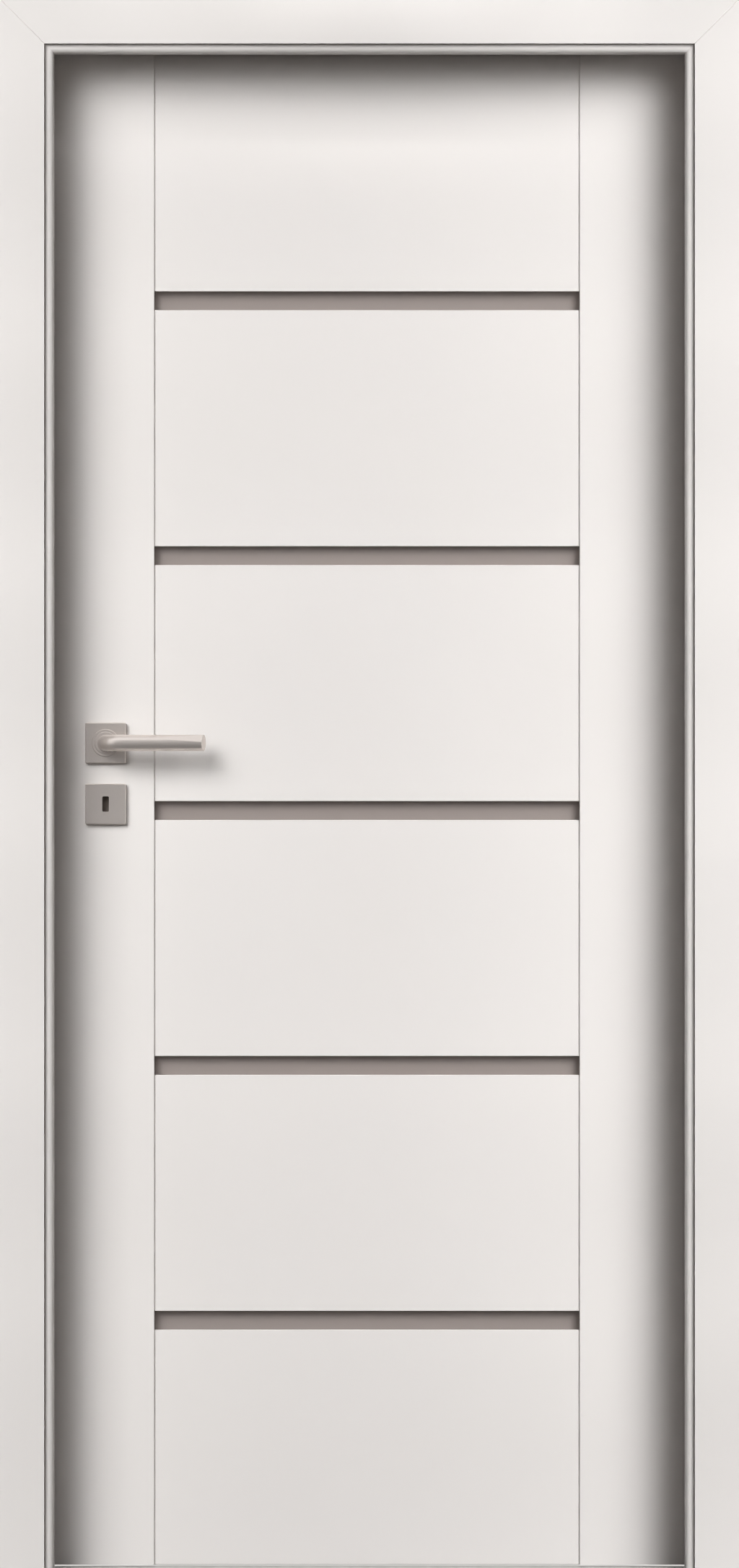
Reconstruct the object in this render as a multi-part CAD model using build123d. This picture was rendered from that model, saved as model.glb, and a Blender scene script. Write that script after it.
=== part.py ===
from build123d import *
import os
from math import cos, radians, sin

# Interior door: a rebated leaf of stiles, panels and glass strips in an adjustable wooden frame.
# Millimetres, +Z up, the front looks along +Y, and the floor is at z = 0.
# Pieces are drawn about the middle of the doorway (x = 0) and the middle of the wall (y = 0).
# They are then shifted so that the origin lies on the wall face of the hinge jamb, at floor level.

# Wall and doorway
wall_thickness = 100.0
clear_width = 821.0
clear_height = 1970.0

# Jambs and head
jamb_thickness = 40.0
bead_width = 12.0
bead_proud = 5.0
bead_outer_rounding = 0.7
bead_inner_rounding = 7.0
wall_leg_setback = 10.0

# Architraves
architrave_width = 58.0
architrave_thickness = 12.0
architrave_rounding = 0.5
mitre_groove_width = 1.2
mitre_groove_depth = 1.0
tongue_thickness = 8.0
tongue_length = 45.0
tongue_end_room = 5.0
tongue_clearance = 0.25

# Leaf
leaf_thickness = 40.0
rebate_lip_thickness = 14.5
rebate_lip_reach = 13.0
rebate_lip_rounding = 3.0
stop_overlap = 6.5
leaf_gap = 5.0
floor_gap = 3.0
latch_stile_width = 136.6
hinge_stile_width = 143.2
stile_rounding = 1.0
panel_setback = 3.0
panel_rounding = 1.0

# Glass strips and the grooves that hold them and the panels
strip_count = 5
strip_height = 24.3
strip_pitch = 332.1
lowest_strip_height = 321.2
glass_thickness = 6.0
glass_embed = 8.0
groove_clearance = 0.2
groove_depth = 10.0
groove_end_clearance = 0.5

# Seal on the stop
seal_width = 6.0
seal_base = 1.7
seal_inset = 0.8
seal_clearance = 0.3
seal_barb_width = 2.6
seal_barb_length = 5.0
seal_groove_clearance = 0.2

# Hinges
upper_hinge_below_rebate = 241.0
hinge_spacing = 1435.0
barrel_diameter = 15.0
barrel_rounding = 2.5
barrel_proud = 2.0
barrel_clearance = 1.0
knuckle_length = 50.0
knuckle_gap = 0.4
hinge_pin_diameter = 8.0
hinge_pin_length = 36.0
hinge_pin_clearance = 0.08
hinge_pin_end_room = 1.0
stud_diameter = 7.0
stud_spacing = 24.0
stud_embed = 24.0
stud_clearance = 0.05

# Lever set
lever_height = 1073.6
lever_backset = 73.1
plate_size = 53.0
plate_thickness = 9.0
plate_rounding = 1.5
plate_corner_rounding = 1.8
collar_diameter = 36.0
collar_proud = 1.8
collar_rounding = 0.9
collar_clearance = 0.1
neck_disc_diameter = 29.0
neck_disc_proud = 1.2
neck_disc_rounding = 0.8
neck_base_gap = 1.5
bar_diameter = 21.3
bar_standoff = 46.0
bar_bend_radius = 17.0
lever_reach = 128.0
facet_start = 75.0
facet_share_at_tip = 0.85
facet_tilt_deg = 38.0
tip_slant_deg = 15.0
spindle_size = 8.0
spindle_clearance = 0.1
spindle_socket_depth = 26.0
spindle_hole_diameter = 16.0

# Key and lock
key_below_lever = 79.6
keyhole_width = 8.6
keyhole_height = 20.0
keyhole_rounding = 1.6
faceplate_width = 20.0
faceplate_height = 235.0
faceplate_thickness = 3.0
faceplate_clearance = 0.1
faceplate_below_lever = 40.0
lock_case_height = 165.0
lock_case_depth = 105.0
lock_case_thickness = 15.0
lock_case_clearance = 0.3
key_pocket_depth = 6.0
bolt_height = 34.0
latch_thickness = 10.0
dead_bolt_thickness = 8.0
bolt_length = 30.0
bolt_setback = 0.5
bolt_clearance = 0.3
bolt_rounding = 1.0

# Strike plate, an angle let into the corner of the latch side rebate
strike_thickness = 1.5
strike_height = 170.0
strike_width = 18.0
strike_return = 11.0
strike_clearance = 0.1
strike_pocket_depth = 15.0
strike_pocket_clearance = 1.0

# Places in the wall's depth
half_clear = clear_width / 2
wall_front = -wall_thickness / 2
wall_back = wall_thickness / 2
frame_back = wall_back + architrave_thickness
lip_front = frame_back + leaf_gap
leaf_back = lip_front + rebate_lip_thickness
leaf_front = leaf_back - leaf_thickness
leaf_middle = (leaf_front + leaf_back) / 2
stop_face = leaf_front - leaf_gap
lock_depth = (leaf_front + lip_front) / 2

# Places across the doorway, where u is the distance out from the edge of the clear opening
shoulder_u = stop_overlap + leaf_gap
front_inner_u = bead_width + tongue_clearance
tongue_slot_u = bead_width + tongue_thickness + 2 * tongue_clearance
outer_u = front_inner_u + architrave_width
leaf_half = half_clear + stop_overlap
lip_half = leaf_half + rebate_lip_reach
panel_left = -leaf_half + latch_stile_width
panel_right = leaf_half - hinge_stile_width
leaf_top = clear_height + stop_overlap
lip_top = leaf_top + rebate_lip_reach
lever_x = -leaf_half + lever_backset
key_height = lever_height - key_below_lever
lock_height = lever_height - faceplate_below_lever
hinge_x = lip_half + barrel_clearance + barrel_diameter / 2
hinge_y = leaf_back + barrel_proud - barrel_diameter / 2
upper_hinge_height = clear_height + shoulder_u - upper_hinge_below_rebate
lower_hinge_height = upper_hinge_height - hinge_spacing

# Reach of cutting bodies beyond what they cut
overshoot = 20.0


def block(x_range, y_range, z_range):
    """A plain block between pairs of coordinates, used to cut recesses and to add tongues."""
    sizes = [high - low for low, high in (x_range, y_range, z_range)]
    middle = [(low + high) / 2 for low, high in (x_range, y_range, z_range)]
    return Pos(*middle) * Box(*sizes)


def outline(points):
    """A flat face with straight sides through the points."""
    return make_face(Polyline(*points, close=True))


def round_corners(face, corners, radius):
    """Round the corners of a flat face that lie at the given points."""
    for corner in corners:
        nearest = face.vertices().sort_by_distance((corner[0], corner[1], 0))[0]
        face = fillet(nearest, radius)
    return face


def side_member(profile):
    """Run a frame profile up the hinge side and mitre its top."""
    upright = extrude(Pos(half_clear, 0, 0) * profile, amount=clear_height + outer_u + overshoot)
    mitre = Plane(origin=(half_clear, 0, clear_height), z_dir=(-1, 0, 1))
    return split(upright, bisect_by=mitre, keep=Keep.BOTTOM)


def head_member(profile):
    """Run the same frame profile across the top and mitre both ends."""
    half_length = half_clear + outer_u + overshoot
    start = Plane(origin=(half_length, 0, clear_height), x_dir=(0, 0, 1), z_dir=(-1, 0, 0))
    head = extrude(start * profile, amount=2 * half_length)
    for side in (-1, 1):
        mitre = Plane(origin=(side * half_clear, 0, clear_height), z_dir=(side, 0, -1))
        head = split(head, bisect_by=mitre, keep=Keep.BOTTOM)
    return head


def mitre_grooves(face_y, inward):
    """Fine V grooves along both mitres, cut inwards from an architrave's face."""
    section = outline([
        (-mitre_groove_depth, -mitre_groove_width),
        (mitre_groove_depth, 0),
        (-mitre_groove_depth, mitre_groove_width),
    ])
    grooves = Part()
    for side in (-1, 1):
        corner = (side * half_clear, face_y, clear_height)
        plane = Plane(origin=corner, x_dir=(0, inward, 0), z_dir=(side, 0, 1))
        grooves += extrude(plane * section, amount=2 * outer_u)
    return grooves


def to_latch_side(part):
    """The mirror image on the other side of the doorway."""
    return mirror(part, about=Plane.YZ)


def to_back(part):
    """The mirror image on the other face of the leaf."""
    return mirror(part, about=Plane(origin=(0, leaf_middle, 0), z_dir=(0, 1, 0)))


def jamb_profile():
    """Section of jamb and head: bead, tongue slot, wall face, rebate, stop and seal groove."""
    bead_front = wall_front - bead_proud
    slot_floor = wall_front + tongue_length + tongue_end_room
    leg_front = wall_front + wall_leg_setback
    seal_u = seal_inset + seal_width / 2
    seal_half = seal_barb_width / 2 + seal_groove_clearance
    seal_floor = stop_face - seal_barb_length - seal_groove_clearance
    face = outline([
        (0, bead_front),
        (bead_width, bead_front),
        (bead_width, slot_floor),
        (tongue_slot_u, slot_floor),
        (tongue_slot_u, leg_front),
        (jamb_thickness, leg_front),
        (jamb_thickness, wall_back),
        (shoulder_u, wall_back),
        (shoulder_u, stop_face),
        (seal_u + seal_half, stop_face),
        (seal_u + seal_half, seal_floor),
        (seal_u - seal_half, seal_floor),
        (seal_u - seal_half, stop_face),
        (0, stop_face),
    ])
    face = round_corners(face, [(bead_width, bead_front)], bead_outer_rounding)
    return round_corners(face, [(0, bead_front)], bead_inner_rounding)


def front_architrave_profile():
    """Section of the adjustable architrave: a flat cover board with a tongue for the jamb's slot."""
    face_y = wall_front - architrave_thickness
    tongue_u = front_inner_u + tongue_thickness
    face = outline([
        (front_inner_u, face_y),
        (outer_u, face_y),
        (outer_u, wall_front),
        (tongue_u, wall_front),
        (tongue_u, wall_front + tongue_length),
        (front_inner_u, wall_front + tongue_length),
    ])
    return round_corners(face, [(front_inner_u, face_y), (outer_u, face_y)], architrave_rounding)


def back_architrave_profile():
    """Section of the fixed architrave, glued to the back of the jamb, flush with its rebate."""
    face = outline([
        (shoulder_u, wall_back),
        (outer_u, wall_back),
        (outer_u, frame_back),
        (shoulder_u, frame_back),
    ])
    return round_corners(face, [(shoulder_u, frame_back), (outer_u, frame_back)], architrave_rounding)


def seal_profile():
    """Section of the rubber seal: a barb in the groove, a foot on the stop and a round bulb."""
    low = seal_inset
    high = seal_inset + seal_width
    middle = seal_inset + seal_width / 2
    barb = seal_barb_width / 2
    foot = stop_face + seal_base
    crown = leaf_front - seal_clearance
    edges = [
        Line((low, foot), (low, stop_face)),
        Line((low, stop_face), (middle - barb, stop_face)),
        Line((middle - barb, stop_face), (middle - barb, stop_face - seal_barb_length)),
        Line((middle - barb, stop_face - seal_barb_length), (middle + barb, stop_face - seal_barb_length)),
        Line((middle + barb, stop_face - seal_barb_length), (middle + barb, stop_face)),
        Line((middle + barb, stop_face), (high, stop_face)),
        Line((high, stop_face), (high, foot)),
        ThreePointArc((high, foot), (middle, crown), (low, foot)),
    ]
    return make_face(edges)


def strike_angle(grow):
    """The strike plate's angle in the rebate corner, grown all round by a clearance for its recess."""
    near = half_clear + shoulder_u
    low = frame_back - strike_width - grow
    thickness = strike_thickness + grow
    section = outline([
        (near, low),
        (near, frame_back),
        (near + strike_return + grow, frame_back),
        (near + strike_return + grow, frame_back - thickness),
        (near + thickness, frame_back - thickness),
        (near + thickness, low),
    ])
    height = strike_height + 2 * grow
    return to_latch_side(extrude(Pos(0, 0, lock_height - height / 2) * section, amount=height))


def strike_pockets():
    """The pockets behind the strike plate that the latch and the dead bolt reach into."""
    near = half_clear + shoulder_u
    depth = strike_thickness + strike_pocket_depth
    pockets = Part()
    for height, thickness in ((lever_height, latch_thickness), (key_height, dead_bolt_thickness)):
        half_y = thickness / 2 + strike_pocket_clearance
        half_z = bolt_height / 2 + strike_pocket_clearance
        pockets += block(
            (-near - depth, -near),
            (lock_depth - half_y, lock_depth + half_y),
            (height - half_z, height + half_z),
        )
    return pockets


def hinge_frame_half(height):
    """Lower knuckle with the hinge pin, and the two studs that hold it in the frame."""
    barrel = Pos(0, 0, -knuckle_length) * Cylinder(
        barrel_diameter / 2, knuckle_length - knuckle_gap / 2, align=(Align.CENTER, Align.CENTER, Align.MIN)
    )
    barrel = fillet(barrel.edges().group_by(Axis.Z)[0], barrel_rounding)
    pin = Pos(0, 0, -knuckle_length / 2) * Cylinder(
        hinge_pin_diameter / 2,
        knuckle_length / 2 + hinge_pin_length,
        align=(Align.CENTER, Align.CENTER, Align.MIN),
    )
    half = barrel + pin
    stud_length = hinge_y - frame_back + stud_embed
    for side in (-1, 1):
        middle = -knuckle_length / 2 + side * stud_spacing / 2
        plane = Plane(origin=(0, 0, middle), x_dir=(1, 0, 0), z_dir=(0, -1, 0))
        half += extrude(plane * Circle(stud_diameter / 2), amount=stud_length)
    return Pos(hinge_x, hinge_y, height) * half


def hinge_leaf_half(height):
    """Upper knuckle, bored for the hinge pin, and the two studs that hold it in the leaf's lip."""
    barrel = Pos(0, 0, knuckle_gap / 2) * Cylinder(
        barrel_diameter / 2, knuckle_length - knuckle_gap / 2, align=(Align.CENTER, Align.CENTER, Align.MIN)
    )
    barrel = fillet(barrel.edges().group_by(Axis.Z)[-1], barrel_rounding)
    stud_length = barrel_diameter / 2 + barrel_clearance + stud_embed
    lip_middle = (lip_front + leaf_back) / 2 - hinge_y
    for side in (-1, 1):
        middle = knuckle_length / 2 + side * stud_spacing / 2
        plane = Plane(origin=(0, lip_middle, middle), x_dir=(0, 1, 0), z_dir=(-1, 0, 0))
        barrel += extrude(plane * Circle(stud_diameter / 2), amount=stud_length)
    bore = Cylinder(
        hinge_pin_diameter / 2 + hinge_pin_clearance,
        hinge_pin_length + hinge_pin_end_room,
        align=(Align.CENTER, Align.CENTER, Align.MIN),
    )
    return Pos(hinge_x, hinge_y, height) * (barrel - bore)


def frame_stud_holes():
    """Holes in the hinge side of the frame for the studs of both frame halves."""
    holes = Part()
    for height in (upper_hinge_height, lower_hinge_height):
        for side in (-1, 1):
            middle = height - knuckle_length / 2 + side * stud_spacing / 2
            plane = Plane(origin=(hinge_x, hinge_y, middle), x_dir=(1, 0, 0), z_dir=(0, -1, 0))
            hole = Circle(stud_diameter / 2 + stud_clearance)
            holes += extrude(plane * hole, amount=hinge_y - frame_back + stud_embed)
    return holes


def leaf_stud_holes():
    """Holes in the hinge stile's lip for the studs of both leaf halves."""
    holes = Part()
    lip_middle = (lip_front + leaf_back) / 2
    for height in (upper_hinge_height, lower_hinge_height):
        for side in (-1, 1):
            middle = height + knuckle_length / 2 + side * stud_spacing / 2
            plane = Plane(origin=(lip_half, lip_middle, middle), x_dir=(0, 1, 0), z_dir=(-1, 0, 0))
            holes += extrude(plane * Circle(stud_diameter / 2 + stud_clearance), amount=stud_embed)
    return holes


def stile(inner):
    """Full-height stile on the hinge side, with its rebate lip and the groove in its inner edge."""
    groove_half = glass_thickness / 2 + groove_clearance
    groove_floor = inner + groove_depth
    face = outline([
        (inner, leaf_front),
        (leaf_half, leaf_front),
        (leaf_half, lip_front),
        (lip_half, lip_front),
        (lip_half, leaf_back),
        (inner, leaf_back),
        (inner, leaf_middle + groove_half),
        (groove_floor, leaf_middle + groove_half),
        (groove_floor, leaf_middle - groove_half),
        (inner, leaf_middle - groove_half),
    ])
    eased = [(inner, leaf_front), (inner, leaf_back), (leaf_half, leaf_front)]
    face = round_corners(face, eased, stile_rounding)
    face = round_corners(face, [(lip_half, leaf_back)], rebate_lip_rounding)
    upright = extrude(Pos(0, 0, floor_gap) * face, amount=lip_top - floor_gap)
    top_rebate = block(
        (inner - overshoot, lip_half + overshoot),
        (leaf_front - overshoot, lip_front),
        (leaf_top, lip_top + overshoot),
    )
    return upright - top_rebate


def panel(index):
    """A wide panel between the stiles, counted from the top, with side tongues and glass grooves."""
    front = leaf_front + panel_setback
    back = leaf_back - panel_setback
    topmost = index == 0
    lowest = index == strip_count
    top_strip = lowest_strip_height + (strip_count - index) * strip_pitch
    low_strip = top_strip - strip_pitch
    top = leaf_top if topmost else top_strip - strip_height / 2
    bottom = floor_gap if lowest else low_strip + strip_height / 2
    board = block((panel_left, panel_right), (front, back), (bottom, top))
    if topmost:
        board += block((panel_left, panel_right), (lip_front, back), (bottom, lip_top))
    faces = board.faces().sort_by(Axis.Y)
    level_edges = (faces[0].edges() + faces[-1].edges()).filter_by(Axis.X)
    board = fillet(level_edges, panel_rounding)
    groove_half = glass_thickness / 2 + groove_clearance
    groove = glass_embed + groove_end_clearance
    slots = []
    if not topmost:
        slots.append((top - groove, top + overshoot))
    if not lowest:
        slots.append((bottom - overshoot, bottom + groove))
    reach = groove_depth - groove_end_clearance
    tongue_half = glass_thickness / 2
    for side, edge in ((-1, panel_left), (1, panel_right)):
        low, high = sorted((edge, edge + side * reach))
        board += block((low, high), (leaf_middle - tongue_half, leaf_middle + tongue_half), (bottom, top))
    for slot in slots:
        board -= block(
            (panel_left - overshoot, panel_right + overshoot),
            (leaf_middle - groove_half, leaf_middle + groove_half),
            slot,
        )
    return board


def glass_strip(index):
    """A strip of frosted glass, counted from the top, set into the panels and the stiles."""
    middle = lowest_strip_height + (strip_count - 1 - index) * strip_pitch
    half_height = strip_height / 2 + glass_embed
    reach = groove_depth - groove_end_clearance
    return block(
        (panel_left - reach, panel_right + reach),
        (leaf_middle - glass_thickness / 2, leaf_middle + glass_thickness / 2),
        (middle - half_height, middle + half_height),
    )


def keyhole(front, back):
    """The keyhole's shape between two places in the wall's depth."""
    plane = Plane(origin=(lever_x, front, key_height), x_dir=(-1, 0, 0), z_dir=(0, 1, 0))
    shape = RectangleRounded(keyhole_width, keyhole_height, keyhole_rounding)
    return extrude(plane * shape, amount=back - front)


def keyhole_cut():
    """The keyhole, straight through both escutcheons and the stile."""
    reach = plate_thickness + overshoot
    return keyhole(leaf_front - reach, leaf_back + reach)


def turned(diameter, start, length):
    """A round body on the lever axis, from a distance off the leaf's front face outwards."""
    plane = Plane(origin=(lever_x, leaf_front - start, lever_height), x_dir=(1, 0, 0), z_dir=(0, -1, 0))
    return extrude(plane * Circle(diameter / 2), amount=length)


def square_plate(height):
    """A square plate on the leaf's front face with eased corners and front edges."""
    plane = Plane(origin=(lever_x, leaf_front, height), x_dir=(1, 0, 0), z_dir=(0, -1, 0))
    shape = RectangleRounded(plate_size, plate_size, plate_corner_rounding)
    plate = extrude(plane * shape, amount=plate_thickness)
    return fillet(plate.faces().sort_by(Axis.Y)[0].edges(), plate_rounding)


def lever_rosette():
    return square_plate(lever_height) - turned(collar_diameter, -overshoot, plate_thickness + 2 * overshoot)


def collar():
    """The bearing ring in the rosette that the lever's neck turns in."""
    ring = turned(collar_diameter, 0, plate_thickness + collar_proud)
    ring = fillet(ring.faces().sort_by(Axis.Y)[0].edges(), collar_rounding)
    bore = neck_disc_diameter + 2 * collar_clearance
    return ring - turned(bore, -overshoot, plate_thickness + 2 * overshoot)


def key_escutcheon():
    return square_plate(key_height) - keyhole_cut()


def lever():
    """The lever: a disc in the collar, a bent round bar, a tapering flat on top and a slanted tip."""
    disc_front = plate_thickness + collar_proud + neck_disc_proud
    disc = turned(neck_disc_diameter, neck_base_gap, disc_front - neck_base_gap)
    disc = fillet(disc.faces().sort_by(Axis.Y)[0].edges(), neck_disc_rounding)
    bar_y = leaf_front - bar_standoff
    radius = bar_diameter / 2
    path = FilletPolyline(
        (lever_x, leaf_front - neck_base_gap, lever_height),
        (lever_x, bar_y, lever_height),
        (lever_x + lever_reach + overshoot, bar_y, lever_height),
        radius=bar_bend_radius,
    )
    start = Plane(origin=path @ 0, z_dir=path % 0)
    bar = sweep(start * Circle(radius), path=path)

    # The flat faces up and forward. It touches the bar at facet_start and sinks towards the tip.
    tilt = radians(facet_tilt_deg)
    outward = Vector(0, -cos(tilt), sin(tilt))
    along_flat = Vector(0, sin(tilt), cos(tilt))
    first = Vector(lever_x + facet_start, bar_y, lever_height) + outward * radius
    last = Vector(lever_x + lever_reach, bar_y, lever_height) + outward * (radius * facet_share_at_tip)
    flat_normal = along_flat.cross(last - first).normalized()
    if flat_normal.dot(outward) < 0:
        flat_normal = flat_normal * -1
    bar = split(bar, bisect_by=Plane(origin=first, z_dir=flat_normal), keep=Keep.BOTTOM)

    slant = radians(tip_slant_deg)
    tip = Plane(origin=(lever_x + lever_reach, bar_y, lever_height), z_dir=(cos(slant), -sin(slant), 0))
    bar = split(bar, bisect_by=tip, keep=Keep.BOTTOM)
    return disc + bar - spindle_bar(spindle_size + 2 * spindle_clearance, spindle_clearance)


def spindle_bar(size, grow):
    """A square bar through the leaf on the lever axis, reaching into both levers."""
    reach = spindle_socket_depth + neck_base_gap - spindle_clearance + grow
    return block(
        (lever_x - size / 2, lever_x + size / 2),
        (leaf_front - reach, leaf_back + reach),
        (lever_height - size / 2, lever_height + size / 2),
    )


def faceplate_blank(grow):
    """The lock's face plate with round ends, let into the leaf's latch edge."""
    plane = Plane(origin=(-leaf_half, lock_depth, lock_height), x_dir=(0, 0, 1), z_dir=(1, 0, 0))
    shape = SlotOverall(faceplate_height + 2 * grow, faceplate_width + 2 * grow)
    return extrude(plane * shape, amount=faceplate_thickness)


def bolt_body(height, thickness, start, length, grow):
    """A block with eased corners that runs into the stile from a distance inside the latch edge."""
    plane = Plane(origin=(-leaf_half + start, lock_depth, height), x_dir=(0, 1, 0), z_dir=(1, 0, 0))
    shape = RectangleRounded(thickness + 2 * grow, bolt_height + 2 * grow, bolt_rounding)
    return extrude(plane * shape, amount=length)


def bolt(height, thickness):
    """A bolt drawn in, just below the face of the face plate."""
    return bolt_body(height, thickness, bolt_setback, bolt_length, 0)


def bolt_pockets():
    """Openings in the face plate and the lock's case for both bolts."""
    depth = bolt_setback + bolt_length + bolt_clearance
    pockets = bolt_body(lever_height, latch_thickness, 0, depth, bolt_clearance)
    return pockets + bolt_body(key_height, dead_bolt_thickness, 0, depth, bolt_clearance)


def lock_case_block(grow):
    """The mortise lock's case behind its face plate, grown by a clearance for its mortise."""
    half_y = lock_case_thickness / 2 + grow
    half_z = lock_case_height / 2 + grow
    return block(
        (-leaf_half + faceplate_thickness, -leaf_half + lock_case_depth + grow),
        (lock_depth - half_y, lock_depth + half_y),
        (lock_height - half_z, lock_height + half_z),
    )


def lock_case():
    """The lock's case with the spindle's hole, the bolts' pockets and a blind keyhole in each side."""
    front = lock_depth - lock_case_thickness / 2
    back = lock_depth + lock_case_thickness / 2
    case = lock_case_block(0) - bolt_pockets() - spindle_hole()
    case -= keyhole(front - overshoot, front + key_pocket_depth)
    return case - keyhole(back - key_pocket_depth, back + overshoot)


def spindle_hole():
    """The round hole through the leaf that the spindle turns in."""
    return turned(spindle_hole_diameter, -leaf_thickness - overshoot, leaf_thickness + 2 * overshoot)


def frame_nodes():
    jamb = side_member(jamb_profile())
    front_grooves = mitre_grooves(wall_front - architrave_thickness, 1)
    back_grooves = mitre_grooves(frame_back, -1)
    front = side_member(front_architrave_profile()) - front_grooves
    back = side_member(back_architrave_profile()) - back_grooves
    seal = side_member(seal_profile())
    strike_recess = strike_angle(strike_clearance) + strike_pockets()
    nodes = {
        "hinge_jamb": jamb - frame_stud_holes(),
        "latch_jamb": to_latch_side(jamb) - strike_recess,
        "head_jamb": head_member(jamb_profile()),
        "front_architrave_hinge_side": front,
        "front_architrave_latch_side": to_latch_side(front),
        "front_architrave_head": head_member(front_architrave_profile()) - front_grooves,
        "back_architrave_hinge_side": back - frame_stud_holes(),
        "back_architrave_latch_side": to_latch_side(back) - strike_recess,
        "back_architrave_head": head_member(back_architrave_profile()) - back_grooves,
        "seal_hinge_side": seal,
        "seal_latch_side": to_latch_side(seal),
        "seal_head": head_member(seal_profile()),
        "strike_plate": strike_angle(0) - strike_pockets(),
        "hinge_upper_frame_half": hinge_frame_half(upper_hinge_height),
        "hinge_lower_frame_half": hinge_frame_half(lower_hinge_height),
    }
    return nodes


def leaf_nodes():
    mortise = faceplate_blank(faceplate_clearance) + lock_case_block(lock_case_clearance)
    latch_stile = to_latch_side(stile(-panel_left)) - mortise
    nodes = {
        "latch_stile": latch_stile - spindle_hole() - keyhole_cut(),
        "hinge_stile": stile(panel_right) - leaf_stud_holes(),
        "lock_faceplate": faceplate_blank(0) - bolt_pockets(),
        "lock_case": lock_case(),
        "latch_bolt": bolt(lever_height, latch_thickness),
        "dead_bolt": bolt(key_height, dead_bolt_thickness),
        "front_lever_rosette": lever_rosette(),
        "front_lever_collar": collar(),
        "front_key_escutcheon": key_escutcheon(),
        "back_lever_rosette": to_back(lever_rosette()),
        "back_lever_collar": to_back(collar()),
        "back_key_escutcheon": to_back(key_escutcheon()),
        "hinge_upper_leaf_half": hinge_leaf_half(upper_hinge_height),
        "hinge_lower_leaf_half": hinge_leaf_half(lower_hinge_height),
    }
    for index in range(strip_count + 1):
        nodes[f"panel_{index + 1}"] = panel(index)
    for index in range(strip_count):
        nodes[f"glass_strip_{index + 1}"] = glass_strip(index)
    return nodes


def lever_nodes():
    return {
        "front_lever": lever(),
        "back_lever": to_back(lever()),
        "spindle": spindle_bar(spindle_size, 0),
    }


os.makedirs("parts", exist_ok=True)
to_origin = Pos(-half_clear - jamb_thickness, 0, 0)
for name, solid in {**frame_nodes(), **leaf_nodes(), **lever_nodes()}.items():
    export_step(to_origin * solid, f"parts/{name}.step")
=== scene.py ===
import math

import bmesh
import bpy
from mathutils import Matrix, Vector


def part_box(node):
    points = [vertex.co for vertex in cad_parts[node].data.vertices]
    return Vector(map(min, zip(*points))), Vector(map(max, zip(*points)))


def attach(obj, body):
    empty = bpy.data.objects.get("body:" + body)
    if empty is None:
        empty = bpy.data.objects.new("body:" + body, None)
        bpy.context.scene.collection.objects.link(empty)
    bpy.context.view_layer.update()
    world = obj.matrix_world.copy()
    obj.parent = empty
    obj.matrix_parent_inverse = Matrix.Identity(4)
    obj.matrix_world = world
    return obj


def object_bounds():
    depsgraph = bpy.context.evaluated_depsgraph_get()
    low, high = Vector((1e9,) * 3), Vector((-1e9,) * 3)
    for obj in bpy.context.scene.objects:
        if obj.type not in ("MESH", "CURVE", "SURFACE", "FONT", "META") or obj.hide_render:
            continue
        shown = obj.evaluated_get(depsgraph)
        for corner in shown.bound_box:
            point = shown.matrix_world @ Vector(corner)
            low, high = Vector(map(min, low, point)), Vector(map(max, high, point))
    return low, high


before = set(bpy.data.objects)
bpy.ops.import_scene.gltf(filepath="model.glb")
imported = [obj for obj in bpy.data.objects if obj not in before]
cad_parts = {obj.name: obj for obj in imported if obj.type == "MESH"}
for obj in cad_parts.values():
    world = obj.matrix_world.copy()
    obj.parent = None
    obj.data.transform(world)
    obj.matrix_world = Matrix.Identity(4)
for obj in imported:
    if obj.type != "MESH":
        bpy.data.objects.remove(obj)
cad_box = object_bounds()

bl_info = {
    "name": "Interior Door Finish",
    "version": (1, 0, 0),
    "blender": (4, 5, 0),
    "location": "3D View > Sidebar > Door",
    "description": "Finishes a panelled interior door with frosted glass strips and sets its stage",
    "category": "Object",
}

MM = 0.001

# The doorway's middle and the faces that the light, the camera and the screws are set out from.
DOOR_MIDDLE = (cad_box[0].x + cad_box[1].x) / 2
DOOR_HEIGHT = cad_box[1].z
DOOR_FRONT = cad_box[0].y
DOOR_BACK = cad_box[1].y
LEAF_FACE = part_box("latch_stile")[0].y
LOCK_DEPTH = sum(corner.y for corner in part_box("lock_faceplate")) / 2

LACQUERED = (
    "hinge_jamb", "latch_jamb", "head_jamb",
    "front_architrave_hinge_side", "front_architrave_latch_side", "front_architrave_head",
    "back_architrave_hinge_side", "back_architrave_latch_side", "back_architrave_head",
    "latch_stile", "hinge_stile",
    "panel_1", "panel_2", "panel_3", "panel_4", "panel_5", "panel_6",
)
GLASS = ("glass_strip_1", "glass_strip_2", "glass_strip_3", "glass_strip_4", "glass_strip_5")
SEALS = ("seal_hinge_side", "seal_latch_side", "seal_head")
LEVER_SET = (
    "front_lever", "back_lever", "front_lever_rosette", "back_lever_rosette",
    "front_lever_collar", "back_lever_collar", "front_key_escutcheon", "back_key_escutcheon",
)
LOCK_AND_HINGES = (
    "lock_faceplate", "latch_bolt", "dead_bolt", "strike_plate", "spindle",
    "hinge_upper_frame_half", "hinge_upper_leaf_half", "hinge_lower_frame_half", "hinge_lower_leaf_half",
)

# Axes that the nickel is brushed along.
ACROSS = 0
UPRIGHT = 2

# Screws: sides and rounding steps of the rim, corners of the cross recess and of the hexagon socket, and
# how far every fourth corner of each is drawn in, as a share of its distance from the middle.
RIM_SIDES = 24
RIM_STEPS = 3
CROSS_CORNERS = 16
CROSS_PINCH = 0.42
SOCKET_CORNERS = 6
SOCKET_PINCH = 1.0

# Plates with screws: piece, CAD node, body, corner of its box on the outer face, and turn of the screw.
SCREWED_PLATES = (
    ("lock_faceplate_screws", "lock_faceplate", "leaf", 0, -90),
    ("strike_plate_screws", "strike_plate", "frame", 1, 90),
)
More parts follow.
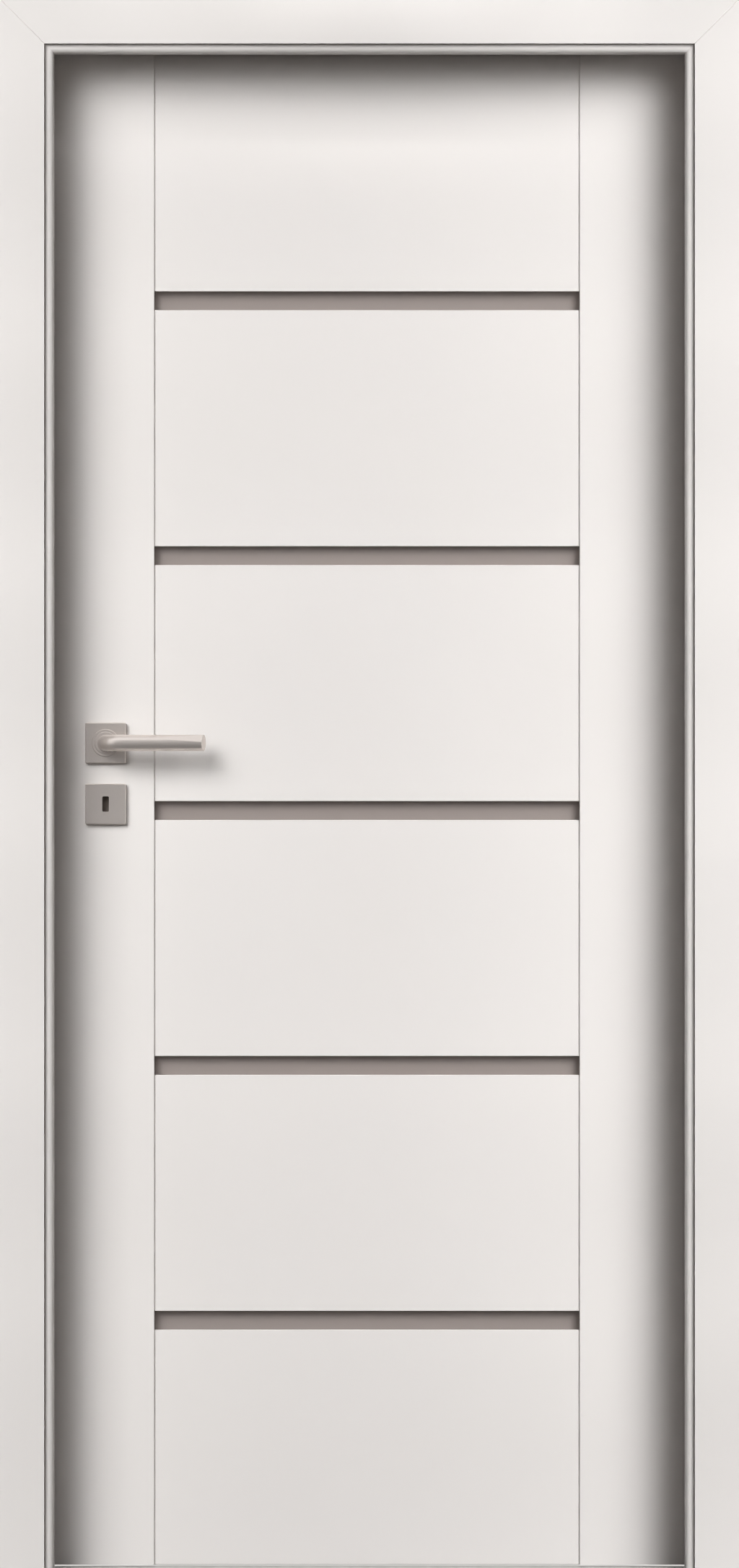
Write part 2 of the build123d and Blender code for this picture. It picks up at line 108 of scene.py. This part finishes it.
# Rosettes over the necks with grub screws: CAD node, corner of its box on the outer face, and way out.
NECKS = (("front_lever_rosette", 0, -1), ("back_lever_rosette", 1, 1))

# Floor, and the grey cards and cloths that only the metal mirrors, in front of the door and behind it.
FLOOR_SIZE = 60.0
CARD_WIDTH = 7.0
CARD_HEIGHT = 5.4
CARD_MIDDLE = 2.5
CARD_DISTANCE = 5.0
CARD_LEVEL = 0.24
CLOTH_DEPTH = 4.9
CLOTH_DISTANCE = 2.55
CLOTH_HEIGHT = 0.01
CLOTH_LEVEL = 0.17

# Two banks of gridded lamps beside the camera: side, name, slant across the door, and share of the power.
BANKS = ((-1, "lamp_left", 0.476, 0.95), (1, "lamp_right", 0.52, 1.08))
BANK_ROWS = 9
BANK_PITCH = 0.32
BANK_LOWEST = -0.1
BANK_AIM_OUT = 0.4475
BANK_AIM_DEPTH = -0.011
BANK_DROP = 0.51
BANK_REACH = 0.753
BANK_LAMP_WIDTH = 0.81
BANK_LAMP_HEIGHT = 0.285
BANK_SPREAD = math.radians(46)
BANK_SHARE_AT_FLOOR = 0.82

# One large lamp on each side behind the door.
BACK_SLANT = 0.42
BACK_DROP = 0.6
BACK_AIM_OUT = 0.38
BACK_AIM_HEIGHT = 1.0
BACK_REACH = 1.6
BACK_LAMP_WIDTH = 0.9
BACK_LAMP_HEIGHT = 2.45
BACK_SPREAD = math.radians(90)
BACK_SHARE = 4.4

# Narrow lamps on the architraves: name, aim across and up the door, direction, width, height, share.
STRIPS = (
    ("lamp_head", (0.0, 2.12), (0.0, 1.0, -1.0), 0.30, 0.05, 0.5),
    ("strip_head", (-0.04, 2.09), (0.0, 1.0, -1.0), 0.76, 0.05, 0.6),
    ("strip_left", (-0.50, 1.15), (0.9, 1.0, -0.2), 0.04, 2.5, 1.0),
    ("strip_right", (0.50, 1.15), (-0.9, 1.0, -0.2), 0.04, 2.5, 0.8),
)
STRIP_REACH = 0.85
STRIP_SPREAD = math.radians(15)

OVERHEAD_HEIGHT = 4.0
OVERHEAD_ANGLE = math.radians(15)
SENSOR_WIDTH = 36.0
CLIP_START = 1.0
CLIP_END_IN_DISTANCES = 3


def linear(hex_colour):
    """Turn an sRGB hex colour into linear red, green, blue and alpha."""
    values = [int(hex_colour[i:i + 2], 16) / 255 for i in (0, 2, 4)]
    return tuple(v / 12.92 if v <= 0.04045 else ((v + 0.055) / 1.055) ** 2.4 for v in values) + (1.0,)


def add_node(tree, kind, inputs=None, **settings):
    """Add a node with its settings, and give each named input a value or the output that feeds it."""
    node = tree.nodes.new(kind)
    for name, value in settings.items():
        setattr(node, name, value)
    for name, value in (inputs or {}).items():
        if isinstance(value, bpy.types.NodeSocket):
            tree.links.new(value, node.inputs[name])
        else:
            node.inputs[name].default_value = value
    return node


def new_material(name):
    """A material with an empty node tree, and that tree."""
    material = bpy.data.materials.new(name)
    material.use_nodes = True
    material.node_tree.nodes.clear()
    return material, material.node_tree


def set_surface(material, kind, inputs):
    """End a material with its shader and the output that shows it."""
    shader = add_node(material.node_tree, kind, inputs)
    add_node(material.node_tree, "ShaderNodeOutputMaterial", {"Surface": shader.outputs[0]})
    return material


def noise(tree, size, detail):
    """Noise that is fixed to the object, with patches of a real size."""
    place = add_node(tree, "ShaderNodeTexCoord").outputs["Object"]
    return add_node(tree, "ShaderNodeTexNoise", {
        "Vector": place, "Scale": 1 / size, "Detail": detail,
    }).outputs["Fac"]


def between(tree, factor, low, high):
    """A number that goes from low to high with a factor."""
    return add_node(tree, "ShaderNodeMapRange", {
        "Value": factor, "To Min": low, "To Max": high,
    }).outputs["Result"]


def blend(tree, factor, first, second):
    """A colour that goes from the first to the second with a factor."""
    return add_node(tree, "ShaderNodeMix", {
        "Factor": factor, "A": first, "B": second,
    }, data_type="RGBA").outputs["Result"]


def relief(tree, height, strength, depth):
    """The normals of a fine relief with a real depth."""
    return add_node(tree, "ShaderNodeBump", {
        "Height": height, "Strength": strength, "Distance": depth,
    }).outputs["Normal"]


def satin_lacquer(finish):
    """White satin lacquer sprayed on fibreboard: even and soft, with a faint orange peel in its gloss."""
    material, tree = new_material("white_satin_lacquer")
    drift = noise(tree, size=finish.lacquer_drift, detail=2.0)
    peel = noise(tree, size=finish.lacquer_peel, detail=1.0)
    return set_surface(material, "ShaderNodeBsdfPrincipled", {
        "Base Color": blend(tree, drift, linear("EAE6E3"), tuple(finish.lacquer_colour) + (1.0,)),
        "Roughness": between(tree, drift, 0.34, 0.42),
        "Normal": relief(tree, peel, strength=0.05, depth=0.05 * MM),
        "IOR": 1.5,
    })


def satin_nickel(finish, name, grain_axis):
    """Satin nickel: warm grey, mostly mirror and partly matt, with fine brush lines along one axis."""
    material, tree = new_material(name)
    place = add_node(tree, "ShaderNodeTexCoord").outputs["Object"]
    stretch = [1 / finish.brush_width] * 3
    stretch[grain_axis] = 1 / finish.brush_length
    turned = add_node(tree, "ShaderNodeMapping", {"Vector": place, "Scale": stretch})
    grain = add_node(tree, "ShaderNodeTexNoise", {
        "Vector": turned.outputs["Vector"], "Scale": 1.0, "Detail": 2.0,
    }).outputs["Fac"]
    return set_surface(material, "ShaderNodeBsdfPrincipled", {
        "Base Color": tuple(finish.nickel_colour) + (1.0,),
        "Metallic": 0.77,
        "Roughness": between(tree, grain, 0.28, 0.40),
        "Normal": relief(tree, grain, strength=0.12, depth=0.03 * MM),
    })


def lock_steel():
    """Bare pressed steel of the lock's case, dull with grease; deep in a keyhole it reads as dark. In the
    screws' recesses its darker colour is painted shade.
    """
    material, tree = new_material("lock_steel_and_painted_recess_shade")
    grease = noise(tree, size=6 * MM, detail=3.0)
    return set_surface(material, "ShaderNodeBsdfPrincipled", {
        "Base Color": blend(tree, grease, linear("8A8078"), linear("9E948C")),
        "Roughness": between(tree, grease, 0.45, 0.65),
        "IOR": 1.5,
    })


def etched_glass(finish):
    """Acid-etched warm grey glass: it passes light but no picture, and scatters it like fine frost."""
    material, tree = new_material("acid_etched_glass")
    frost = noise(tree, size=finish.frost_grain, detail=2.0)
    return set_surface(material, "ShaderNodeBsdfPrincipled", {
        "Base Color": tuple(finish.glass_colour) + (1.0,),
        "Roughness": between(tree, frost, 0.5, 0.62),
        "Transmission Weight": 0.35,
        "IOR": 1.52,
        "Normal": relief(tree, frost, strength=0.2, depth=0.03 * MM),
    })


def screw_steel():
    """Nickel-plated screw steel: a bit brighter and smoother than the plates, with faint turning marks."""
    material, tree = new_material("plated_screw_steel")
    marks = noise(tree, size=0.8 * MM, detail=2.0)
    return set_surface(material, "ShaderNodeBsdfPrincipled", {
        "Base Color": linear("CFC7C0"),
        "Metallic": 0.85,
        "Roughness": between(tree, marks, 0.22, 0.34),
    })


def seal_rubber():
    """Extruded thermoplastic rubber: matt pale grey with a slight bloom."""
    material, tree = new_material("extruded_seal_rubber")
    bloom = noise(tree, size=12 * MM, detail=3.0)
    return set_surface(material, "ShaderNodeBsdfPrincipled", {
        "Base Color": blend(tree, bloom, linear("C9C5C1"), linear("D6D3D0")),
        "Roughness": 0.7,
        "IOR": 1.5,
    })


def shown_to_eye(tree):
    """1 for what the camera sees, straight or by gloss or glass, and 0 for light on its way there."""
    path = add_node(tree, "ShaderNodeLightPath").outputs
    seen = add_node(tree, "ShaderNodeMath", {
        0: path["Is Camera Ray"], 1: path["Is Glossy Ray"],
    }, operation="ADD")
    shown = add_node(tree, "ShaderNodeMath", {
        0: seen.outputs[0], 1: path["Is Transmission Ray"],
    }, operation="ADD", use_clamp=True)
    return shown.outputs[0]


def pale_floor():
    """Pale matt floor to the eye. It throws little light back up, so the door keeps its low shadows too."""
    material, tree = new_material("pale_floor")
    dim = add_node(tree, "ShaderNodeBsdfDiffuse", {"Color": linear("3A3836")})
    pale = add_node(tree, "ShaderNodeBsdfDiffuse", {"Color": linear("CFCDCA")})
    return set_surface(material, "ShaderNodeMixShader", {
        "Fac": shown_to_eye(tree), 1: dim.outputs[0], 2: pale.outputs[0],
    })


def grey_card(name, level):
    """Plain grey card that the metal mirrors, as a studio sets one beside the camera."""
    material = new_material(name)[0]
    grey = (level, level, level, 1.0)
    return set_surface(material, "ShaderNodeEmission", {"Color": grey, "Strength": 1.0})


def set_world(stage):
    """White to the eye, gloss and glass, with a dim fill from the front and a brighter one from behind."""
    world = bpy.data.worlds.new("studio")
    world.use_nodes = True
    tree = world.node_tree
    tree.nodes.clear()
    direction = add_node(tree, "ShaderNodeTexCoord").outputs["Generated"]
    parts = add_node(tree, "ShaderNodeSeparateXYZ", {"Vector": direction})
    backwards = add_node(tree, "ShaderNodeMapRange", {
        "Value": parts.outputs["Y"], "From Min": -0.1, "From Max": 0.6,
    }, interpolation_type="SMOOTHSTEP").outputs["Result"]
    fill = blend(tree, backwards, tuple(stage.ambient_front) + (1.0,), tuple(stage.ambient_back) + (1.0,))
    dim = add_node(tree, "ShaderNodeBackground", {"Color": fill, "Strength": 1.0})
    white = add_node(tree, "ShaderNodeBackground", {"Color": linear("FFFFFF"), "Strength": 1.0})
    mixed = add_node(tree, "ShaderNodeMixShader", {
        "Fac": shown_to_eye(tree), 1: dim.outputs[0], 2: white.outputs[0],
    })
    add_node(tree, "ShaderNodeOutputWorld", {"Surface": mixed.outputs[0]})
    bpy.context.scene.world = world


def paint(names, material):
    """Give each named CAD node one material."""
    for name in names:
        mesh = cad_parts[name].data
        mesh.materials.clear()
        mesh.materials.append(material)


def link_mesh(name, bm):
    """Turn a bmesh into a mesh object in the scene."""
    mesh = bpy.data.meshes.new(name)
    bm.to_mesh(mesh)
    bm.free()
    obj = bpy.data.objects.new(name, mesh)
    bpy.context.scene.collection.objects.link(obj)
    return obj


def loop_edges(loop):
    """The edges of a ring of vertices that was just made, each once and in the ring's order."""
    return list(dict.fromkeys(edge for vert in loop["verts"] for edge in vert.link_edges))


def recessed_disc(diameter, recess_corners, recess_width, pinch, screws):
    """A screw's end that faces up, with a rounded rim, a skirt and a blind recess whose walls and bottom
    are painted darker as shade.

    Every fourth corner of the recess is drawn in by the pinch, which makes a cross of a ring of sixteen.
    """
    bm = bmesh.new()
    rim_edges = loop_edges(bmesh.ops.create_circle(bm, segments=RIM_SIDES, radius=diameter / 2))
    recess = bmesh.ops.create_circle(bm, segments=recess_corners, radius=recess_width / 2)
    bmesh.ops.scale(bm, vec=(pinch, pinch, 1.0), verts=recess["verts"][2::4])
    recess_edges = loop_edges(recess)
    bmesh.ops.bridge_loops(bm, edges=rim_edges + recess_edges)
    for edges, depth in ((rim_edges, screws.head_sunk), (recess_edges, screws.recess_depth)):
        grown = bmesh.ops.extrude_edge_only(bm, edges=edges)["geom"]
        lower = [item for item in grown if isinstance(item, bmesh.types.BMVert)]
        bmesh.ops.translate(bm, vec=(0, 0, -depth), verts=lower)
    recess_shade_faces = [item for item in grown if isinstance(item, bmesh.types.BMFace)]
    bottom = [edge for edge in bm.edges if all(vert in lower for vert in edge.verts)]
    recess_shade_faces += bmesh.ops.contextual_create(bm, geom=bottom)["faces"]
    # Painted shade: the recess's walls and bottom take the second, darker material.
    for face in recess_shade_faces:
        face.material_index = 1
    bmesh.ops.translate(bm, vec=(0, 0, screws.head_proud), verts=bm.verts)
    bmesh.ops.bevel(bm, geom=rim_edges, offset=screws.rim_rounding, segments=RIM_STEPS, profile=0.5,
                    affect="EDGES", material=-1)
    bmesh.ops.recalc_face_normals(bm, faces=bm.faces)
    return bm


def fit_screws(name, screw, places, body):
    """Set a copy of a screw at each place, as one object that moves with a body of the door."""
    piece = bmesh.new()
    for place in places:
        copy = bpy.data.meshes.new(name)
        screw.to_mesh(copy)
        copy.transform(place)
        piece.from_mesh(copy)
        bpy.data.meshes.remove(copy)
    obj = link_mesh(name, piece)
    obj.data.materials.append(bpy.data.materials["plated_screw_steel"])
    # The second material is painted shade: darker steel that lines the recesses.
    obj.data.materials.append(bpy.data.materials["lock_steel_and_painted_recess_shade"])
    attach(obj, body)


def flat_board(name, width, depth, place, material):
    """A flat rectangle of one material for the stage, facing up before it is placed."""
    bm = bmesh.new()
    bmesh.ops.create_grid(bm, x_segments=1, y_segments=1, size=0.5)
    bmesh.ops.scale(bm, vec=(width, depth, 1.0), verts=bm.verts)
    bmesh.ops.transform(bm, matrix=place, verts=bm.verts)
    board = link_mesh(name, bm)
    board.data.materials.append(material)
    return board


def mirrored_only(board):
    """Show a board of the stage to gloss alone."""
    board.visible_camera = False
    board.visible_diffuse = False
    board.visible_transmission = False
    board.visible_shadow = False


def beam_matrix(place, direction):
    """Where a lamp stands and how it is turned to shine along a direction, with its top edge level."""
    back = -direction.normalized()
    across = Vector((0, 0, 1)).cross(back).normalized()
    up = back.cross(across)
    turn = Matrix((across, up, back)).transposed().to_4x4()
    return Matrix.Translation(place) @ turn


def gridded_lamp(name, aim, direction, reach, width, height, power, spread):
    """A soft lamp whose grid keeps its light in a narrow spread, at a reach from what it is aimed at."""
    light = bpy.data.lights.new(name, "AREA")
    light.shape = "RECTANGLE"
    light.size = width
    light.size_y = height
    light.energy = power
    light.spread = spread
    lamp = bpy.data.objects.new(name, light)
    bpy.context.scene.collection.objects.link(lamp)
    lamp.matrix_world = beam_matrix(aim - direction.normalized() * reach, direction)
    lamp.visible_camera = False
    lamp.visible_glossy = False


def set_floor_and_cards():
    """Lay the floor, and set up the cards and cloths that the metal mirrors."""
    flat_board("floor", FLOOR_SIZE, FLOOR_SIZE, Matrix.Translation((DOOR_MIDDLE, 0.0, 0.0)), pale_floor())
    upright = Matrix.Rotation(math.radians(90), 4, "X")
    for side, name in ((-1, "front"), (1, "back")):
        card_place = Matrix.Translation((DOOR_MIDDLE, side * CARD_DISTANCE, CARD_MIDDLE)) @ upright
        card_grey = grey_card("grey_card_" + name, CARD_LEVEL)
        mirrored_only(flat_board("card_" + name, CARD_WIDTH, CARD_HEIGHT, card_place, card_grey))
        cloth_place = Matrix.Translation((DOOR_MIDDLE, side * CLOTH_DISTANCE, CLOTH_HEIGHT))
        cloth_grey = grey_card("grey_cloth_" + name, CLOTH_LEVEL)
        mirrored_only(flat_board("cloth_" + name, CARD_WIDTH, CLOTH_DEPTH, cloth_place, cloth_grey))


def set_lamps(stage):
    """Set the banks beside the camera, the lamps behind, the narrow lamps and the overhead light."""
    for side, name, slant, share in BANKS:
        direction = Vector((-side * slant, 1.0, -BANK_DROP))
        for row in range(BANK_ROWS):
            height = BANK_LOWEST + row * BANK_PITCH
            aim = Vector((DOOR_MIDDLE + side * BANK_AIM_OUT, BANK_AIM_DEPTH, height))
            dimmer = min(1.0, BANK_SHARE_AT_FLOOR + (1 - BANK_SHARE_AT_FLOOR) * aim.z)
            power = stage.side_key_power * share * dimmer
            gridded_lamp(f"{name}_{row}", aim, direction, BANK_REACH, BANK_LAMP_WIDTH, BANK_LAMP_HEIGHT,
                         power, BANK_SPREAD)
        back_aim = Vector((DOOR_MIDDLE + side * BACK_AIM_OUT, DOOR_BACK, BACK_AIM_HEIGHT))
        back_direction = Vector((-side * BACK_SLANT, -1.0, -BACK_DROP))
        back_power = stage.side_key_power * BACK_SHARE
        gridded_lamp(name + "_back", back_aim, back_direction, BACK_REACH,
                     BACK_LAMP_WIDTH, BACK_LAMP_HEIGHT, back_power, BACK_SPREAD)
    for name, (out, up), direction, width, height, share in STRIPS:
        aim = Vector((DOOR_MIDDLE + out, DOOR_FRONT, up))
        gridded_lamp(name, aim, Vector(direction), STRIP_REACH, width, height,
                     stage.strip_power * share, STRIP_SPREAD)

    overhead = bpy.data.lights.new("overhead", "SUN")
    overhead.energy = stage.floor_light
    overhead.angle = OVERHEAD_ANGLE
    overhead_lamp = bpy.data.objects.new("overhead", overhead)
    overhead_lamp.visible_glossy = False
    overhead_lamp.location = (DOOR_MIDDLE, 0.0, OVERHEAD_HEIGHT)
    bpy.context.scene.collection.objects.link(overhead_lamp)


def set_camera(stage):
    """A far camera square to the door, fitted to its height midway between its front and the leaf."""
    camera = bpy.data.cameras.new("camera")
    camera.lens = stage.lens
    camera.sensor_width = SENSOR_WIDTH
    half_height = DOOR_HEIGHT / 2
    distance = half_height * stage.lens / (SENSOR_WIDTH / 2)
    camera.clip_start = CLIP_START
    camera.clip_end = CLIP_END_IN_DISTANCES * distance
    camera_object = bpy.data.objects.new("camera", camera)
    camera_object.location = (DOOR_MIDDLE, (DOOR_FRONT + LEAF_FACE) / 2 - distance, half_height)
    camera_object.rotation_euler = (math.radians(90), 0.0, 0.0)
    bpy.context.scene.collection.objects.link(camera_object)
    bpy.context.scene.camera = camera_object


class DoorFinish(bpy.types.PropertyGroup):
    lacquer_colour: bpy.props.FloatVectorProperty(
        name="Lacquer", description="Colour of the white lacquer", subtype="COLOR",
        min=0.0, max=1.0, default=linear("EEEAE7")[:3],
    )
    lacquer_peel: bpy.props.FloatProperty(
        name="Orange peel", description="Width of one ripple of the sprayed lacquer",
        subtype="DISTANCE", unit="LENGTH", default=1.6 * MM,
    )
    lacquer_drift: bpy.props.FloatProperty(
        name="Lacquer drift", description="Width of the slow changes in the lacquer's colour and gloss",
        subtype="DISTANCE", unit="LENGTH", default=350 * MM,
    )
    nickel_colour: bpy.props.FloatVectorProperty(
        name="Nickel", description="Colour of the satin nickel", subtype="COLOR",
        min=0.0, max=1.0, default=linear("E2D9D3")[:3],
    )
    brush_width: bpy.props.FloatProperty(
        name="Brush line width", description="Width of one brush line in the nickel",
        subtype="DISTANCE", unit="LENGTH", default=0.35 * MM,
    )
    brush_length: bpy.props.FloatProperty(
        name="Brush line length", description="Length of one brush line in the nickel",
        subtype="DISTANCE", unit="LENGTH", default=14 * MM,
    )
    glass_colour: bpy.props.FloatVectorProperty(
        name="Glass", description="Colour of the etched glass", subtype="COLOR",
        min=0.0, max=1.0, default=linear("9F9590")[:3],
    )
    frost_grain: bpy.props.FloatProperty(
        name="Frost grain", description="Size of one grain of the etched face",
        subtype="DISTANCE", unit="LENGTH", default=0.9 * MM,
    )


class DoorScrews(bpy.types.PropertyGroup):
    head_diameter: bpy.props.FloatProperty(
        name="Head", description="Diameter of the countersunk heads",
        subtype="DISTANCE", unit="LENGTH", default=7.6 * MM,
    )
    head_proud: bpy.props.FloatProperty(
        name="Proud", description="How far a screw stands out of the metal round it",
        subtype="DISTANCE", unit="LENGTH", default=0.45 * MM,
    )
    rim_rounding: bpy.props.FloatProperty(
        name="Rim rounding", description="Rounding of a screw's rim",
        subtype="DISTANCE", unit="LENGTH", default=0.3 * MM,
    )
    head_sunk: bpy.props.FloatProperty(
        name="Skirt", description="Depth of a screw's edge below its face, partly in the metal round it",
        subtype="DISTANCE", unit="LENGTH", default=0.8 * MM,
    )
    cross_width: bpy.props.FloatProperty(
        name="Cross recess", description="Width of the cross recess from tip to tip",
        subtype="DISTANCE", unit="LENGTH", default=4.6 * MM,
    )
    recess_depth: bpy.props.FloatProperty(
        name="Recess depth", description="Depth of the recess below the screw's face",
        subtype="DISTANCE", unit="LENGTH", default=0.4 * MM,
    )
    end_distance: bpy.props.FloatProperty(
        name="End distance", description="From the end of a plate to the middle of its screw",
        subtype="DISTANCE", unit="LENGTH", default=12 * MM,
    )
    grub_diameter: bpy.props.FloatProperty(
        name="Grub screw", description="Diameter of the grub screw under each lever",
        subtype="DISTANCE", unit="LENGTH", default=5 * MM,
    )
    socket_width: bpy.props.FloatProperty(
        name="Hexagon socket", description="Width of the grub screw's socket across its corners",
        subtype="DISTANCE", unit="LENGTH", default=2.9 * MM,
    )
    grub_from_plate: bpy.props.FloatProperty(
        name="Grub screw place", description="From the rosette's face to the middle of the grub screw",
        subtype="DISTANCE", unit="LENGTH", default=11 * MM,
    )
    neck_radius: bpy.props.FloatProperty(
        name="Neck radius", description="Radius of the lever's round neck",
        subtype="DISTANCE", unit="LENGTH", default=10.65 * MM,
    )


class DoorStage(bpy.types.PropertyGroup):
    lens: bpy.props.FloatProperty(
        name="Lens", description="Focal length, long enough to show almost no perspective",
        subtype="DISTANCE_CAMERA", default=700.0,
    )
    side_key_power: bpy.props.FloatProperty(
        name="Side lamp power", description="Power of each gridded lamp beside the camera",
        unit="POWER", default=0.80,
    )
    strip_power: bpy.props.FloatProperty(
        name="Strip lamp power", description="Power of each narrow lamp that grazes an architrave",
        unit="POWER", default=0.12,
    )
    floor_light: bpy.props.FloatProperty(
        name="Overhead light", description="Strength of the overhead light on the floor", default=2.4,
    )
    ambient_front: bpy.props.FloatVectorProperty(
        name="Front fill", description="Dim fill light from in front of the door", subtype="COLOR",
        default=(0.030, 0.022, 0.018),
    )
    ambient_back: bpy.props.FloatVectorProperty(
        name="Back fill", description="Soft fill light from behind the door", subtype="COLOR",
        default=(0.75, 0.75, 0.75),
    )


class DOOR_OT_lacquer_woodwork(bpy.types.Operator):
    """Lacquer the frame, the stiles and the panels"""
    bl_idname = "door.lacquer_woodwork"
    bl_label = "Lacquer the Woodwork"

    def execute(self, context):
        paint(LACQUERED, satin_lacquer(context.scene.door_finish))
        return {"FINISHED"}


class DOOR_OT_etch_glass(bpy.types.Operator):
    """Etch the five glass strips"""
    bl_idname = "door.etch_glass"
    bl_label = "Etch the Glass"

    def execute(self, context):
        paint(GLASS, etched_glass(context.scene.door_finish))
        return {"FINISHED"}


class DOOR_OT_plate_hardware(bpy.types.Operator):
    """Plate the lever set, the lock and the hinges with satin nickel"""
    bl_idname = "door.plate_hardware"
    bl_label = "Plate the Hardware"

    def execute(self, context):
        finish = context.scene.door_finish
        paint(LEVER_SET, satin_nickel(finish, "satin_nickel_brushed_across", ACROSS))
        paint(LOCK_AND_HINGES, satin_nickel(finish, "satin_nickel_brushed_upright", UPRIGHT))
        paint(("lock_case",), lock_steel())
        return {"FINISHED"}


class DOOR_OT_fit_screws(bpy.types.Operator):
    """Fit the screws of the lock's face plate and the strike plate, and the grub screws under the levers"""
    bl_idname = "door.fit_screws"
    bl_label = "Fit the Screws"

    def execute(self, context):
        screws = context.scene.door_screws
        screw_steel()
        cross_head = recessed_disc(
            screws.head_diameter, CROSS_CORNERS, screws.cross_width, CROSS_PINCH, screws,
        )
        for name, node, body, corner, turn in SCREWED_PLATES:
            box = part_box(node)
            facing = Matrix.Rotation(math.radians(turn), 4, "Y")
            places = []
            for height in (box[0].z + screws.end_distance, box[1].z - screws.end_distance):
                places.append(Matrix.Translation((box[corner].x, LOCK_DEPTH, height)) @ facing)
            fit_screws(name, cross_head, places, body)
        cross_head.free()

        grub_screw = recessed_disc(
            screws.grub_diameter, SOCKET_CORNERS, screws.socket_width, SOCKET_PINCH, screws,
        )
        downwards = Matrix.Rotation(math.radians(180), 4, "X")
        places = []
        for node, corner, side in NECKS:
            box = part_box(node)
            middle = (box[0] + box[1]) / 2
            depth = box[corner].y + side * screws.grub_from_plate
            places.append(Matrix.Translation((middle.x, depth, middle.z - screws.neck_radius)) @ downwards)
        fit_screws("lever_grub_screws", grub_screw, places, "lever")
        grub_screw.free()
        return {"FINISHED"}


class DOOR_OT_fit_seals(bpy.types.Operator):
    """Give the seals on the stop their rubber"""
    bl_idname = "door.fit_seals"
    bl_label = "Fit the Seals"

    def execute(self, context):
        paint(SEALS, seal_rubber())
        return {"FINISHED"}


class DOOR_OT_set_stage(bpy.types.Operator):
    """Set the floor, the lamps, the white surroundings and the camera"""
    bl_idname = "door.set_stage"
    bl_label = "Set the Stage"

    def execute(self, context):
        stage = context.scene.door_stage
        context.scene.view_settings.view_transform = "Standard"
        set_world(stage)
        set_floor_and_cards()
        set_lamps(stage)
        set_camera(stage)
        return {"FINISHED"}


class DOOR_PT_sidebar(bpy.types.Panel):
    """Lists the steps and values of the door's finish"""
    bl_idname = "DOOR_PT_sidebar"
    bl_label = "Interior Door"
    bl_space_type = "VIEW_3D"
    bl_region_type = "UI"
    bl_category = "Door"

    def draw(self, context):
        for step in STEPS:
            self.layout.operator(step.bl_idname)
        for group in (context.scene.door_finish, context.scene.door_screws, context.scene.door_stage):
            for name in type(group).__annotations__:
                self.layout.prop(group, name)


STEPS = (
    DOOR_OT_lacquer_woodwork,
    DOOR_OT_etch_glass,
    DOOR_OT_plate_hardware,
    DOOR_OT_fit_screws,
    DOOR_OT_fit_seals,
    DOOR_OT_set_stage,
)
CLASSES = (DoorFinish, DoorScrews, DoorStage) + STEPS + (DOOR_PT_sidebar,)


def register():
    for cls in CLASSES:
        bpy.utils.register_class(cls)
    bpy.types.Scene.door_finish = bpy.props.PointerProperty(type=DoorFinish)
    bpy.types.Scene.door_screws = bpy.props.PointerProperty(type=DoorScrews)
    bpy.types.Scene.door_stage = bpy.props.PointerProperty(type=DoorStage)


def unregister():
    del bpy.types.Scene.door_stage
    del bpy.types.Scene.door_screws
    del bpy.types.Scene.door_finish
    for cls in reversed(CLASSES):
        bpy.utils.unregister_class(cls)


def main():
    register()
    bpy.ops.door.lacquer_woodwork()
    bpy.ops.door.etch_glass()
    bpy.ops.door.plate_hardware()
    bpy.ops.door.fit_screws()
    bpy.ops.door.fit_seals()
    bpy.ops.door.set_stage()


if __name__ == "__main__":
    main()
